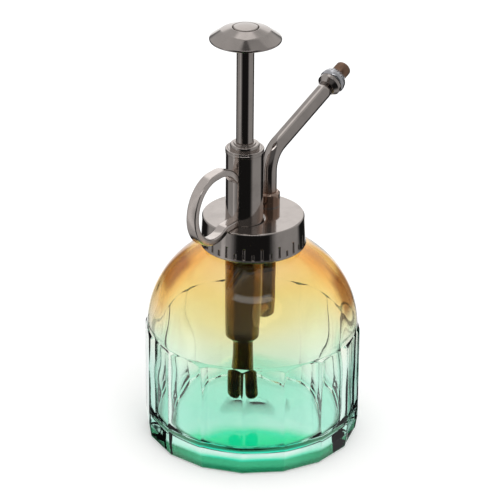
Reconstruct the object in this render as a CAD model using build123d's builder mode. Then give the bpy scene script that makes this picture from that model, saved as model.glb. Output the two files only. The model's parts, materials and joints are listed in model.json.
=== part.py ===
"""Glass plant mister with a screw-on hand pump.

Millimetres, +Z up.  The origin is the centre of the bottle's base.  The spout points to +X
and the finger ring is on the -X side, so pump, ring and spout all lie in the XZ plane.  The
pump's axis stands to one side of the bottle's, because the neck also has to pass the duct
that runs down beside the pump.
"""
import os
from math import acos, asin, cos, degrees, pi, radians, sin, sqrt

from build123d import *

os.makedirs("parts", exist_ok=True)

# ------------------------------------------------------------ clearances
slip_fit = 0.05             # radial, pieces that are pushed, screwed or soldered together
running_fit = 0.06          # radial, pieces that turn or slide in each other
seat_gap = 0.02             # between faces that only rest on each other
free_gap = 0.3              # between pieces that never touch

# ------------------------------------------------------------ bottle
facet_count = 16
facet_turn = 6.5            # degrees from +X to the nearest corner of the panels
corner_radius = 42.1
facet_top = 46.0            # where the panels run out into the dome
corner_slope = 1.6          # height over which the corners lean back into the dome
panel_relief = 0.1          # how far the flat of a panel stands out of the dome
heel_height = 6.5
heel_draw_in = 1.0          # how far the corners draw in down to the foot
dome_centre = 45.0
dome_flattening = 3.4       # how much lower the dome is than the corners are wide
glass_wall = 2.6
floor_thickness = 6.0
inner_heel = 8.0            # radius inside, from the floor up the wall
punt_radius = 15.0
punt_depth = 2.0
neck_clearance = 0.9
neck_wall = 2.4
neck_height = 9.3
neck_round = 0.6

# ------------------------------------------------------------ cap
gasket_thickness = 1.2
plate_thickness = 1.2
thread_room = 1.4           # between the neck and the skirt's bore
skirt_wall = 1.55
skirt_flare = 0.55
shoulder_gap = 0.4          # between the skirt's foot and the dome
cap_round = 0.6
lip_height = 1.1
lip_depth = 0.25
notch_count = 36            # long and short ones by turns
notch_turn = 14.0           # degrees from +X to the first short notch
notch_width = 1.0
notch_depth = 0.7
long_notch = 4.7
short_notch = 2.4

# ------------------------------------------------------------ pump
pump_x = -6.2
duct_spacing = 16.6         # from the pump's axis to the riser's
cylinder_bore = 5.6
spigot_wall = 0.9
cylinder_wall = 1.5
cylinder_length = 48.7      # below the neck's rim
cylinder_floor = 4.0
cylinder_taper = 2.0
barrel_wall = 0.7
barrel_height = 30.0
barrel_round = 0.6
head_height = 1.8           # of the slightly wider head on the barrel
head_depth = 0.2
bead_drop = 0.9             # from the barrel's top to the groove in its head
groove_depth = 0.2
gland_radius = 5.7
gland_top_radius = 4.3
gland_rise = 2.3
gland_step = 0.5
gland_thread = 5.0
bush_height = 4.0
seal_height = 1.5

# ------------------------------------------------------------ plunger
rod_radius = 3.375
plunger_stroke = 37.5
stop_gap = 0.9              # between collar and gland with the plunger pushed home
collar_height = 1.7
collar_radius = 4.2
knob_radius = 13.7
knob_rim = 0.6              # radius of the rounded rim
knob_rim_lift = 1.7         # from the knob's foot to the middle of its rim
knob_hub_radius = 5.2
knob_hollow = 1.4           # how far the underside is dished above its rim
knob_shoulder_radius = 9.5
knob_shoulder_lift = 5.0
knob_top_lift = 6.5
disc_radius = 4.7
disc_recess = 1.1
disc_crown = 0.6
top_stud_radius = 2.5
top_stud_length = 3.0
low_stud_radius = 2.0
piston_gap = 0.4            # between piston and spigot seal with the plunger up
piston_height = 7.0
piston_land = 2.0           # solid length at each end of the piston
packing_depth = 0.9
washer_thickness = 0.7
washer_gap = 0.1
wire_radius = 0.45
spring_radius = 4.5
spring_turns = 12

# ------------------------------------------------------------ valves
inlet_hole = 1.0
inlet_mouth = 1.9
inlet_ball_radius = 1.5
inlet_lift = 1.2
seat_flange = 1.5
inlet_spigot_radius = 2.5
inlet_spigot_length = 6.5
cage_wall = 1.5
cage_roof = 0.9
cage_windows = 3
outlet_hole = 0.7
outlet_mouth = 1.3
outlet_ball_radius = 1.1
outlet_lift = 1.0
outlet_seat_height = 2.0
stop_thickness = 1.2
stop_holes = 3
stop_hole_radius = 0.55

# ------------------------------------------------------------ tubes below the cap
tube_foot_height = 9.5      # inlet tube's end above the bottle's floor
inlet_tube_wall = 1.9
inlet_tube_taper = 0.8
port_height = 2.0           # above the inlet seat
port_radius = 1.0
arm_radius = 2.4
duct_radius = 3.1
duct_bore = 2.2
duct_round = 1.6
duct_sump = 4.4             # from the port down to the duct's rounded end
duct_spigot_wall = 0.65
duct_spigot_height = 1.0    # above the plate

# ------------------------------------------------------------ spout and nozzle
spout_radius = 3.15
spout_wall = 0.75
spout_rise = 19.3           # degrees above level
bend_height = 21.2          # above the plate, where the two straight runs would meet
bend_radius = 10.0
spout_reach = 45.6          # from that point to the back of the nozzle
boss_radius = 4.45
boss_height = 5.9
boss_chamfer = 0.7
boss_ledge = 1.2
collar_wall = 0.25
collar_length = 3.2
flare_radius = 4.8          # of the collar, where the nozzle turns against it
flare_length = 1.7
spigot_insert = 3.0
thread_radius = 2.6
thread_length = 2.3
nozzle_passage = 1.2
nozzle_radius = 5.2
nozzle_length = 4.9
nozzle_crown = 0.35
nozzle_bevel = 1.8
nozzle_mouth = 3.6
tooth_count = 24
tooth_width = 0.5
tooth_depth = 0.5
tip_radius = 3.15
tip_length = 7.6
tip_round = 1.0
tip_bore = 1.9
tip_wall = 1.5
orifice_radius = 0.35
core_length = 2.9
core_slots = 3
core_slot = 0.6

# ------------------------------------------------------------ finger ring
ring_radius = 14.4
ring_thickness = 2.7
ring_width = 4.4
ring_edge = 0.55
ring_reach = 21.2           # from the pump's axis to the centre of the outer bow
ring_drop = 1.95            # how far the bow dips below the plate
ring_bend = 4.0             # radius of the bend over the plate's edge
ring_stretch = 2.6          # level run on top of the ring
ring_close = 45.0           # degrees that the band turns down towards the barrel

# ------------------------------------------------------------ derived sizes
spigot_radius = cylinder_bore + spigot_wall
cylinder_radius = cylinder_bore + cylinder_wall
barrel_bore = spigot_radius + slip_fit
barrel_radius = barrel_bore + barrel_wall
duct_spigot_radius = duct_bore + duct_spigot_wall
riser_x = pump_x + duct_spacing
inlet_spigot_bore = inlet_spigot_radius + slip_fit
inlet_tube_radius = inlet_spigot_bore + inlet_tube_wall

foot_radius = corner_radius - heel_draw_in
dome_radius = corner_radius * cos(pi / facet_count) - panel_relief
dome_rise = corner_radius - dome_flattening
neck_bore = max(cylinder_radius - pump_x, riser_x + duct_radius) + neck_clearance
neck_radius = neck_bore + neck_wall
skirt_bore = neck_radius + thread_room
cap_radius = skirt_bore + skirt_wall
cap_foot_radius = cap_radius + skirt_flare


def dome_height(radius):
    """Height of the dome's outside over a point that far from the bottle's axis."""
    return dome_centre + dome_rise * sqrt(1 - (radius / dome_radius) ** 2)


neck_top = dome_height(neck_radius) + neck_height
plate_under = neck_top + gasket_thickness
plate_top = plate_under + plate_thickness
skirt_foot = dome_height(skirt_bore) + shoulder_gap
barrel_top = plate_top + barrel_height
gland_foot = barrel_top - gland_thread
gland_top = barrel_top + gland_rise
bush_foot = gland_foot - bush_height
spigot_top = bush_foot - seal_height
collar_foot = gland_top + plunger_stroke + stop_gap
knob_foot = collar_foot + collar_height
piston_top = spigot_top - piston_gap
piston_foot = piston_top - piston_height
washer_foot = piston_foot - washer_gap - washer_thickness
cylinder_foot = neck_top - cylinder_length
seat_foot = cylinder_foot + cylinder_floor
seat_top = seat_foot + seat_flange
port_z = seat_top + port_height
duct_foot = port_z - duct_sump
tube_foot = floor_thickness + tube_foot_height


# ------------------------------------------------------------ helpers
def level(z, x=0.0):
    """Level plane at a height, centred that far along X."""
    return Plane(origin=(x, 0, z), x_dir=(1, 0, 0), z_dir=(0, 0, 1))


def section(x=0.0):
    """Upright plane of a turned piece: its x is the radius and its y is the height."""
    return Plane(origin=(x, 0, 0), x_dir=(1, 0, 0), z_dir=(0, -1, 0))


def own_axis(plane):
    """Axis that a turned piece on this plane turns about."""
    return Axis(plane.origin, plane.y_dir)


def turn(plane, *points, mode=Mode.ADD):
    """Turn a straight-sided outline of (radius, height) points about the plane's y axis."""
    with BuildSketch(plane) as outline:
        with BuildLine():
            Polyline(*points, close=True)
        make_face()
    revolve(outline.sketch, axis=own_axis(plane), mode=mode)


def washer(plane, radius, bore, thickness):
    """Flat ring on a plane."""
    with BuildSketch(plane) as ring:
        Circle(radius)
        Circle(bore, mode=Mode.SUBTRACT)
    extrude(ring.sketch, amount=thickness)


def bore(plane, radius, depth):
    """Straight round hole from a plane along its normal."""
    with BuildSketch(plane) as hole:
        Circle(radius)
    extrude(hole.sketch, amount=depth, mode=Mode.SUBTRACT)


def seated_ball(mouth_top, mouth, radius):
    """Height of a ball's centre on a 45 degree seat whose mouth opens at that height."""
    return mouth_top - mouth + radius * sqrt(2) + seat_gap


pump_section = section(pump_x)
riser_section = section(riser_x)
port_plane = Plane(origin=(pump_x, 0, port_z), x_dir=(0, 1, 0), z_dir=(1, 0, 0))

# ------------------------------------------------------------ bottle
with BuildPart() as glass_bottle:
    # panels: a short faceted heel under straight walls
    with BuildSketch(Plane.XY):
        RegularPolygon(radius=foot_radius, side_count=facet_count, rotation=facet_turn)
    with BuildSketch(level(heel_height)):
        RegularPolygon(radius=corner_radius, side_count=facet_count, rotation=facet_turn)
    loft(ruled=True)
    with BuildSketch(level(heel_height)):
        RegularPolygon(radius=corner_radius, side_count=facet_count, rotation=facet_turn)
    extrude(amount=facet_top - heel_height)
    turn(
        section(),
        (0, 0),
        (corner_radius, 0),
        (corner_radius, facet_top - corner_slope),
        (dome_radius - panel_relief, facet_top),
        (0, facet_top),
        mode=Mode.INTERSECT,
    )
    # dome and neck
    with BuildSketch(section()):
        with BuildLine():
            dome = EllipticalCenterArc(
                (0, dome_centre),
                dome_radius,
                dome_rise,
                start_angle=0,
                arc_size=degrees(acos(neck_radius / dome_radius)),
            )
            Polyline(
                dome @ 1,
                (neck_radius, neck_top - neck_round),
                (neck_radius - neck_round, neck_top),
                (0, neck_top),
                (0, dome_centre - corner_slope),
                (dome_radius, dome_centre - corner_slope),
                dome @ 0,
            )
        make_face()
    revolve(axis=Axis.Z)
    # inside
    inner_radius = dome_radius - glass_wall
    with BuildSketch(section()):
        with BuildLine():
            inner_dome = EllipticalCenterArc(
                (0, dome_centre),
                inner_radius,
                dome_rise - glass_wall,
                start_angle=0,
                arc_size=degrees(acos(neck_bore / inner_radius)),
            )
            Polyline(
                inner_dome @ 1,
                (neck_bore, neck_top),
                (0, neck_top),
                (0, floor_thickness),
                (inner_radius - inner_heel, floor_thickness),
            )
            CenterArc((inner_radius - inner_heel, floor_thickness + inner_heel), inner_heel, -90, 90)
            Line((inner_radius, floor_thickness + inner_heel), inner_dome @ 0)
        make_face()
    revolve(axis=Axis.Z, mode=Mode.SUBTRACT)
    # shallow dish under the base
    with BuildSketch(section()):
        with BuildLine():
            TangentArc((0, punt_depth), (punt_radius, 0), tangent=(1, 0))
            Polyline((punt_radius, 0), (0, 0), (0, punt_depth))
        make_face()
    revolve(axis=Axis.Z, mode=Mode.SUBTRACT)

# ------------------------------------------------------------ cap and its seals
with BuildPart() as neck_gasket:
    washer(
        level(neck_top + seat_gap),
        skirt_bore - 2 * free_gap,
        neck_bore + slip_fit,
        gasket_thickness - 2 * seat_gap,
    )

with BuildPart() as head_gasket:
    washer(level(neck_top), neck_bore - running_fit - slip_fit, spigot_radius / 2, gasket_thickness)
    bore(level(neck_top, pump_x), spigot_radius + slip_fit, gasket_thickness)
    bore(level(neck_top, riser_x), duct_spigot_radius + slip_fit, gasket_thickness)

with BuildPart() as screw_cap:
    turn(
        section(),
        (0, plate_under),
        (0, plate_top),
        (cap_radius, plate_top),
        (cap_foot_radius, skirt_foot + lip_height),
        (cap_foot_radius + lip_depth, skirt_foot + lip_height / 2),
        (cap_foot_radius, skirt_foot),
        (skirt_bore, skirt_foot),
        (skirt_bore, plate_under),
    )
    fillet(screw_cap.edges().group_by(Axis.Z)[-1], radius=cap_round)
    # grip notches
    pairs = notch_count // 2
    for height, first in ((short_notch, notch_turn), (long_notch, notch_turn + 180 / pairs)):
        with BuildSketch(level(skirt_foot + lip_height)):
            with PolarLocations(cap_foot_radius, pairs, start_angle=first):
                Rectangle(2 * notch_depth, notch_width)
        extrude(amount=height, mode=Mode.SUBTRACT)
    bore(level(plate_under, pump_x), spigot_radius + slip_fit, plate_thickness)
    bore(level(plate_under, riser_x), duct_spigot_radius + slip_fit, plate_thickness)

# ------------------------------------------------------------ barrel, gland and packing
with BuildPart() as pump_barrel:
    groove_z = barrel_top - bead_drop
    head_radius = barrel_radius + head_depth
    turn(
        pump_section,
        (barrel_bore, plate_top),
        (barrel_radius, plate_top),
        (barrel_radius, barrel_top - head_height - head_depth),
        (head_radius, barrel_top - head_height),
        (head_radius, groove_z - groove_depth),
        (head_radius - groove_depth, groove_z),
        (head_radius, groove_z + groove_depth),
        (head_radius, barrel_top),
        (barrel_bore, barrel_top),
    )
    fillet(pump_barrel.edges().group_by(Axis.Z)[-1].sort_by(SortBy.RADIUS)[-1], radius=barrel_round)

with BuildPart() as gland_nut:
    with BuildSketch(pump_section):
        with BuildLine():
            Polyline(
                (gland_top_radius, gland_top),
                (rod_radius + running_fit, gland_top),
                (rod_radius + running_fit, gland_foot),
                (spigot_radius, gland_foot),
                (spigot_radius, barrel_top),
                (gland_radius, barrel_top),
            )
            # a domed shoulder under a short straight neck
            TangentArc(
                (gland_radius, barrel_top),
                (gland_top_radius, gland_top - gland_step),
                tangent=(0, 1),
            )
            Line((gland_top_radius, gland_top - gland_step), (gland_top_radius, gland_top))
        make_face()
    revolve(axis=own_axis(pump_section))

with BuildPart() as rod_bush:
    washer(level(bush_foot, pump_x), spigot_radius, rod_radius + running_fit, bush_height)

with BuildPart() as rod_seal:
    washer(level(spigot_top, pump_x), spigot_radius, rod_radius + running_fit, seal_height)

# ------------------------------------------------------------ cylinder, inlet and its valve
with BuildPart() as pump_cylinder:
    turn(
        pump_section,
        (inlet_spigot_bore, cylinder_foot),
        (cylinder_radius - cylinder_taper, cylinder_foot),
        (cylinder_radius, cylinder_foot + cylinder_taper),
        (cylinder_radius, neck_top),
        (spigot_radius, neck_top),
        (spigot_radius, spigot_top),
        (cylinder_bore, spigot_top),
        (cylinder_bore, seat_foot),
        (inlet_spigot_bore, seat_foot),
    )
    bore(port_plane, port_radius, cylinder_radius)

with BuildPart() as inlet_tube:
    turn(
        pump_section,
        (inlet_spigot_bore, tube_foot),
        (inlet_tube_radius - inlet_tube_taper, tube_foot),
        (inlet_tube_radius, tube_foot + inlet_tube_taper),
        (inlet_tube_radius, cylinder_foot),
        (inlet_spigot_bore, cylinder_foot),
    )

with BuildPart() as inlet_seat:
    turn(
        pump_section,
        (inlet_hole, cylinder_foot - inlet_spigot_length),
        (inlet_spigot_radius, cylinder_foot - inlet_spigot_length),
        (inlet_spigot_radius, seat_foot),
        (cylinder_bore - slip_fit, seat_foot),
        (cylinder_bore - slip_fit, seat_top),
        (inlet_mouth, seat_top),
        (inlet_hole, seat_top - inlet_mouth + inlet_hole),
    )

inlet_ball_z = seated_ball(seat_top, inlet_mouth, inlet_ball_radius)
with BuildPart() as inlet_ball:
    with Locations((pump_x, 0, inlet_ball_z)):
        Sphere(inlet_ball_radius)

cage_bore = inlet_ball_radius + free_gap
cage_inside = inlet_ball_z + inlet_ball_radius + inlet_lift + seat_gap
with BuildPart() as inlet_cage:
    washer(
        level(seat_top, pump_x),
        cage_bore + cage_wall,
        outlet_hole,
        cage_inside + cage_roof - seat_top,
    )
    bore(level(seat_top, pump_x), cage_bore + slip_fit, cage_inside - seat_top)
    # windows round the wall, between the foot and the roof
    with BuildSketch(level(seat_top + cage_roof, pump_x)):
        with PolarLocations(cage_bore + cage_wall, cage_windows):
            Rectangle(2 * cage_wall, cage_bore)
    extrude(amount=cage_inside - seat_top - 2 * cage_roof, mode=Mode.SUBTRACT)

# ------------------------------------------------------------ spring and piston
with BuildPart() as return_spring:
    spring_foot = seat_top + wire_radius + seat_gap
    spring_length = washer_foot - wire_radius - washer_gap - spring_foot
    with BuildLine():
        coil = Helix(
            pitch=spring_length / spring_turns,
            height=spring_length,
            radius=spring_radius,
            center=(pump_x, 0, spring_foot),
        )
    with BuildSketch(Plane(origin=coil @ 0, z_dir=coil % 0)):
        RegularPolygon(radius=wire_radius, side_count=6)
    sweep(is_frenet=True)

with BuildPart() as spring_washer:
    washer(
        level(washer_foot, pump_x),
        cylinder_bore - running_fit,
        low_stud_radius + running_fit,
        washer_thickness,
    )

piston_radius = cylinder_bore - free_gap
packing_radius = piston_radius - packing_depth
with BuildPart() as piston:
    turn(
        pump_section,
        (low_stud_radius + slip_fit, piston_foot),
        (piston_radius, piston_foot),
        (piston_radius, piston_foot + piston_land),
        (packing_radius, piston_foot + piston_land),
        (packing_radius, piston_top - piston_land),
        (piston_radius, piston_top - piston_land),
        (piston_radius, piston_top),
        (low_stud_radius + slip_fit, piston_top),
    )

with BuildPart() as piston_seal:
    washer(
        level(piston_foot + piston_land, pump_x),
        cylinder_bore - running_fit,
        packing_radius,
        piston_height - 2 * piston_land,
    )

# ------------------------------------------------------------ plunger
knob_rim_z = knob_foot + knob_rim_lift
shoulder_z = knob_foot + knob_shoulder_lift
knob_top = knob_foot + knob_top_lift
recess_radius = disc_radius + free_gap
with BuildPart() as plunger_rod:
    turn(
        pump_section,
        (0, washer_foot),
        (low_stud_radius, washer_foot),
        (low_stud_radius, piston_top),
        (rod_radius, piston_top),
        (rod_radius, knob_foot),
        (top_stud_radius, knob_foot),
        (top_stud_radius, knob_foot + top_stud_length),
        (0, knob_foot + top_stud_length),
    )

with BuildPart() as rod_collar:
    turn(
        pump_section,
        (rod_radius + slip_fit, collar_foot),
        (rod_radius + free_gap, collar_foot),
        (collar_radius, knob_foot - collar_height / 2),
        (collar_radius, knob_foot),
        (rod_radius + slip_fit, knob_foot),
    )

with BuildPart() as thumb_knob:
    with BuildSketch(pump_section):
        with BuildLine():
            rim_inside = knob_radius - knob_rim
            ThreePointArc(
                (knob_hub_radius, knob_foot),
                ((knob_hub_radius + rim_inside) / 2, knob_rim_z + knob_hollow),
                (rim_inside, knob_rim_z - knob_rim),
            )
            CenterArc((rim_inside, knob_rim_z), knob_rim, -90, 180)
            Polyline(
                (rim_inside, knob_rim_z + knob_rim),
                (knob_shoulder_radius, shoulder_z),
                (recess_radius, knob_top),
                (recess_radius, knob_top - disc_recess),
                (0, knob_top - disc_recess),
                (0, knob_foot),
                (knob_hub_radius, knob_foot),
            )
        make_face()
    revolve(axis=own_axis(pump_section))
    bore(level(knob_foot, pump_x), top_stud_radius + slip_fit, top_stud_length + free_gap)

with BuildPart() as knob_disc:
    with BuildSketch(pump_section):
        with BuildLine():
            TangentArc((0, knob_top + disc_crown), (disc_radius, knob_top), tangent=(1, 0))
            Polyline(
                (disc_radius, knob_top),
                (disc_radius, knob_top - disc_recess),
                (0, knob_top - disc_recess),
                (0, knob_top + disc_crown),
            )
        make_face()
    revolve(axis=own_axis(pump_section))

# ------------------------------------------------------------ finger ring
with BuildPart() as finger_ring:
    band_radius = ring_radius - ring_thickness / 2
    sway = band_radius + ring_bend
    dip = degrees(acos(1 - ring_drop / sway))
    foot_z = plate_top + ring_thickness / 2
    with BuildLine(pump_section):
        # level along the plate, down a little past its edge, round, and back to the barrel
        foot_run = Line((0, foot_z), (sway * sin(radians(dip)) - ring_reach, foot_z))
        past_edge = JernArc(foot_run @ 1, foot_run % 1, radius=ring_bend, arc_size=dip)
        bow = JernArc(past_edge @ 1, past_edge % 1, radius=band_radius, arc_size=-180 - dip)
        top_run = Line(bow @ 1, bow @ 1 + bow % 1 * ring_stretch)
        close = JernArc(top_run @ 1, top_run % 1, radius=band_radius, arc_size=-ring_close)
        Line(close @ 1, close @ 1 + close % 1 * barrel_radius)
    with BuildSketch(Plane(origin=foot_run @ 0, x_dir=(0, 1, 0), z_dir=foot_run % 0)):
        RectangleRounded(ring_width, ring_thickness, ring_edge)
    sweep()
    bore(level(plate_top, pump_x), barrel_radius, barrel_height)

# ------------------------------------------------------------ duct beside the pump, and its valve
valve_foot = port_z + arm_radius + slip_fit
with BuildPart() as outlet_duct:
    with BuildSketch(riser_section):
        with BuildLine():
            Line((0, duct_foot), (duct_radius - duct_round, duct_foot))
            CenterArc((duct_radius - duct_round, duct_foot + duct_round), duct_round, -90, 90)
            Polyline(
                (duct_radius, duct_foot + duct_round),
                (duct_radius, neck_top),
                (duct_spigot_radius, neck_top),
                (duct_spigot_radius, plate_top + duct_spigot_height),
                (0, plate_top + duct_spigot_height),
                (0, duct_foot),
            )
        make_face()
    revolve(axis=own_axis(riser_section))
    # arm to the pump, hollowed to sit on the round of the cylinder
    with BuildSketch(port_plane):
        Circle(arm_radius)
    extrude(amount=duct_spacing)
    bore(level(cylinder_foot, pump_x), cylinder_radius + slip_fit, cylinder_length)
    # port, narrow passage and wide bore, with a step between them that carries the valve seat
    bore(port_plane, port_radius, duct_spacing)
    bore(level(port_z, riser_x), port_radius, valve_foot - port_z)
    bore(level(valve_foot, riser_x), duct_bore, plate_top + duct_spigot_height - valve_foot)

outlet_seat_top = valve_foot + outlet_seat_height
with BuildPart() as outlet_seat:
    turn(
        riser_section,
        (outlet_hole, valve_foot),
        (duct_bore - slip_fit, valve_foot),
        (duct_bore - slip_fit, outlet_seat_top),
        (outlet_mouth, outlet_seat_top),
        (outlet_hole, outlet_seat_top - outlet_mouth + outlet_hole),
    )

outlet_ball_z = seated_ball(outlet_seat_top, outlet_mouth, outlet_ball_radius)
with BuildPart() as outlet_ball:
    with Locations((riser_x, 0, outlet_ball_z)):
        Sphere(outlet_ball_radius)

with BuildPart() as outlet_stop:
    with BuildSketch(level(outlet_ball_z + outlet_ball_radius + outlet_lift + seat_gap, riser_x)):
        Circle(duct_bore - slip_fit)
        with PolarLocations(duct_bore / 2, stop_holes):
            Circle(stop_hole_radius, mode=Mode.SUBTRACT)
    extrude(amount=stop_thickness)

# ------------------------------------------------------------ spout
spray = Vector(cos(radians(spout_rise)), 0, sin(radians(spout_rise)))
bend_point = Vector(riser_x, 0, plate_top + bend_height)
nozzle_back = bend_point + spray * spout_reach
# turned pieces on the spray's axis: radius along x, distance past the nozzle's back along y
spray_section = Plane(origin=nozzle_back, x_dir=(0, 1, 0), z_dir=(spray.Z, 0, -spray.X))
tube_start = plate_top + boss_ledge

with BuildPart() as spout_boss:
    turn(
        riser_section,
        (duct_spigot_radius + slip_fit, plate_top),
        (boss_radius, plate_top),
        (boss_radius, plate_top + boss_height - boss_chamfer),
        (boss_radius - boss_chamfer, plate_top + boss_height),
        (spout_radius + slip_fit, plate_top + boss_height),
        (spout_radius + slip_fit, tube_start),
        (duct_spigot_radius + slip_fit, tube_start),
    )

with BuildPart() as spout_tube:
    with BuildLine():
        FilletPolyline(
            (riser_x, 0, tube_start),
            bend_point,
            nozzle_back - spray * collar_length,
            radius=bend_radius,
        )
    with BuildSketch(level(tube_start, riser_x)):
        Circle(spout_radius)
        Circle(spout_radius - spout_wall, mode=Mode.SUBTRACT)
    sweep()

insert_radius = spout_radius - spout_wall - slip_fit
with BuildPart() as spout_collar:
    turn(
        spray_section,
        (nozzle_passage, -collar_length - spigot_insert),
        (insert_radius, -collar_length - spigot_insert),
        (insert_radius, -collar_length),
        (spout_radius + collar_wall, -collar_length),
        (flare_radius, flare_length - collar_length),
        (flare_radius, 0),
        (thread_radius, 0),
        (thread_radius, thread_length),
        (nozzle_passage, thread_length),
    )

# ------------------------------------------------------------ nozzle
tip_foot = thread_length + free_gap
bevel_start = nozzle_length - nozzle_bevel
with BuildPart() as nozzle_ring:
    with BuildSketch(spray_section):
        with BuildLine():
            ThreePointArc(
                (nozzle_radius - nozzle_crown, slip_fit),
                (nozzle_radius, bevel_start * 0.4),
                (nozzle_radius - nozzle_crown, bevel_start),
            )
            Polyline(
                (nozzle_radius - nozzle_crown, bevel_start),
                (nozzle_mouth, nozzle_length),
                (tip_radius + slip_fit, nozzle_length),
                (tip_radius + slip_fit, tip_foot),
                (thread_radius + running_fit, tip_foot),
                (thread_radius + running_fit, slip_fit),
                (nozzle_radius - nozzle_crown, slip_fit),
            )
        make_face()
    revolve(axis=own_axis(spray_section))
    # teeth round the sloping front
    with BuildSketch(Plane(origin=nozzle_back + spray * nozzle_length, x_dir=(0, 1, 0), z_dir=spray)):
        with PolarLocations(nozzle_radius + nozzle_mouth - nozzle_crown, tooth_count):
            Rectangle(2 * (nozzle_radius - tooth_depth), tooth_width)
    extrude(amount=-nozzle_bevel, mode=Mode.SUBTRACT)

with BuildPart() as nozzle_tip:
    tip_end = tip_foot + tip_length
    with BuildSketch(spray_section):
        with BuildLine():
            CenterArc((tip_radius - tip_round, tip_end - tip_round), tip_round, 0, 90)
            # shallow dish round the hole, and the chamber behind it
            Polyline(
                (tip_radius - tip_round, tip_end),
                (4 * orifice_radius, tip_end),
                (orifice_radius, tip_end - orifice_radius),
                (orifice_radius, tip_end - tip_wall),
                (tip_bore, tip_end - tip_wall),
                (tip_bore, tip_foot),
                (tip_radius, tip_foot),
                (tip_radius, tip_end - tip_round),
            )
        make_face()
    revolve(axis=own_axis(spray_section))

with BuildPart() as swirl_core:
    with BuildSketch(
        Plane(
            origin=nozzle_back + spray * (tip_end - tip_wall - slip_fit - core_length),
            x_dir=(0, 1, 0),
            z_dir=spray,
        )
    ):
        Circle(tip_bore - slip_fit)
        with PolarLocations(tip_bore, core_slots):
            Rectangle(2 * core_slot, core_slot, mode=Mode.SUBTRACT)
    extrude(amount=core_length)

# ------------------------------------------------------------ one STEP file for each piece
pieces = {
    "glass_bottle": glass_bottle,
    "neck_gasket": neck_gasket,
    "head_gasket": head_gasket,
    "screw_cap": screw_cap,
    "pump_barrel": pump_barrel,
    "gland_nut": gland_nut,
    "rod_bush": rod_bush,
    "rod_seal": rod_seal,
    "pump_cylinder": pump_cylinder,
    "inlet_tube": inlet_tube,
    "inlet_seat": inlet_seat,
    "inlet_ball": inlet_ball,
    "inlet_cage": inlet_cage,
    "return_spring": return_spring,
    "spring_washer": spring_washer,
    "piston": piston,
    "piston_seal": piston_seal,
    "plunger_rod": plunger_rod,
    "rod_collar": rod_collar,
    "thumb_knob": thumb_knob,
    "knob_disc": knob_disc,
    "finger_ring": finger_ring,
    "outlet_duct": outlet_duct,
    "outlet_seat": outlet_seat,
    "outlet_ball": outlet_ball,
    "outlet_stop": outlet_stop,
    "spout_boss": spout_boss,
    "spout_tube": spout_tube,
    "spout_collar": spout_collar,
    "nozzle_ring": nozzle_ring,
    "nozzle_tip": nozzle_tip,
    "swirl_core": swirl_core,
}
for name, piece in pieces.items():
    piece.part.label = name
    export_step(piece.part, f"parts/{name}.step")
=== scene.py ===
"""Glass plant mister with a screw-on hand pump: surfaces, finishes and studio.

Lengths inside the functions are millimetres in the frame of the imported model; META turns them
into Blender's metres.  Every piece is a grid worked out with numpy, and its place comes from
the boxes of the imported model's nodes.
"""
import json
from functools import partialmethod
from math import acos, atan2, ceil, cos, degrees, pi, radians, sin, sqrt, tan

import bmesh
import bpy
import numpy as np
from bpy.props import FloatProperty, FloatVectorProperty, IntProperty
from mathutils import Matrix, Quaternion, Vector


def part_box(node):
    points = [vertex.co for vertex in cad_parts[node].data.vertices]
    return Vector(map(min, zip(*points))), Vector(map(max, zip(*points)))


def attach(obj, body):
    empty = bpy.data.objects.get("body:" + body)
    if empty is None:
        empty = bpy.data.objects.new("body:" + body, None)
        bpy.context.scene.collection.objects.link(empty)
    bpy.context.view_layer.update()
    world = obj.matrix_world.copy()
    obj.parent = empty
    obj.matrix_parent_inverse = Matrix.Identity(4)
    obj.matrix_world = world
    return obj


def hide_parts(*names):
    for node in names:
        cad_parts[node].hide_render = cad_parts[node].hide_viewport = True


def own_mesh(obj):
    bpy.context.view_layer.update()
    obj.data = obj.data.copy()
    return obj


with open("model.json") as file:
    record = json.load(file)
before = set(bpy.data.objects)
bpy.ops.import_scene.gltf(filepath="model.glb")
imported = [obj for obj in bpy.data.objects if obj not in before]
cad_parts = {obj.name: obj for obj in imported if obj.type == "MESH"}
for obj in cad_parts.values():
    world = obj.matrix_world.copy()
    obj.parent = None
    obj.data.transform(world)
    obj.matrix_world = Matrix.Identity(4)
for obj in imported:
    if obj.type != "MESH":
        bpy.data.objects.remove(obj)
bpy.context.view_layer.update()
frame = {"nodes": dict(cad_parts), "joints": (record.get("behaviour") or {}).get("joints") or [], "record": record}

bl_info = {
    "name": "Plant Mister",
    "version": (1, 0, 0),
    "blender": (4, 5, 0),
    "location": "View3D > Sidebar > Mister",
    "description": "Builds the surfaces, finishes and studio of a glass plant mister",
    "category": "Add Mesh",
}

META = 0.001
TURN = 2 * pi

# where the camera stands: bearing, height, roll, distance, and the height that it takes in
VIEW_AZIMUTH = radians(-56.0)
VIEW_ELEVATION = radians(24.67)
VIEW_ROLL = radians(0.48)
VIEW_DISTANCE = 1195.0
VIEW_SPAN = 192.5
SENSOR = 36.0
# bearing of the camera's line of view, along and across which light and shade are painted on the glass and the
# barrel
PAINTED_LIGHT_BEARING = radians(-56.0)
# light of the side screens, and of the room as seen from inside the glass
SCREEN_LEVEL = 0.36
GLASS_FILL = 0.95


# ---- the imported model's places
def box_mm(node):
    """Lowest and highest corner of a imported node, in millimetres."""
    low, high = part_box(node)
    return np.array(low) / META, np.array(high) / META


def levels(node):
    """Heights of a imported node's foot and top."""
    low, high = box_mm(node)
    return low[2], high[2]


def outer_radius(node):
    """Radius of an upright turned node, from the width of its box."""
    low, high = box_mm(node)
    return (high[0] - low[0]) / 2


def joint(name):
    """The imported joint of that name."""
    return next(item for item in frame["joints"] if item["name"] == name)


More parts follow.
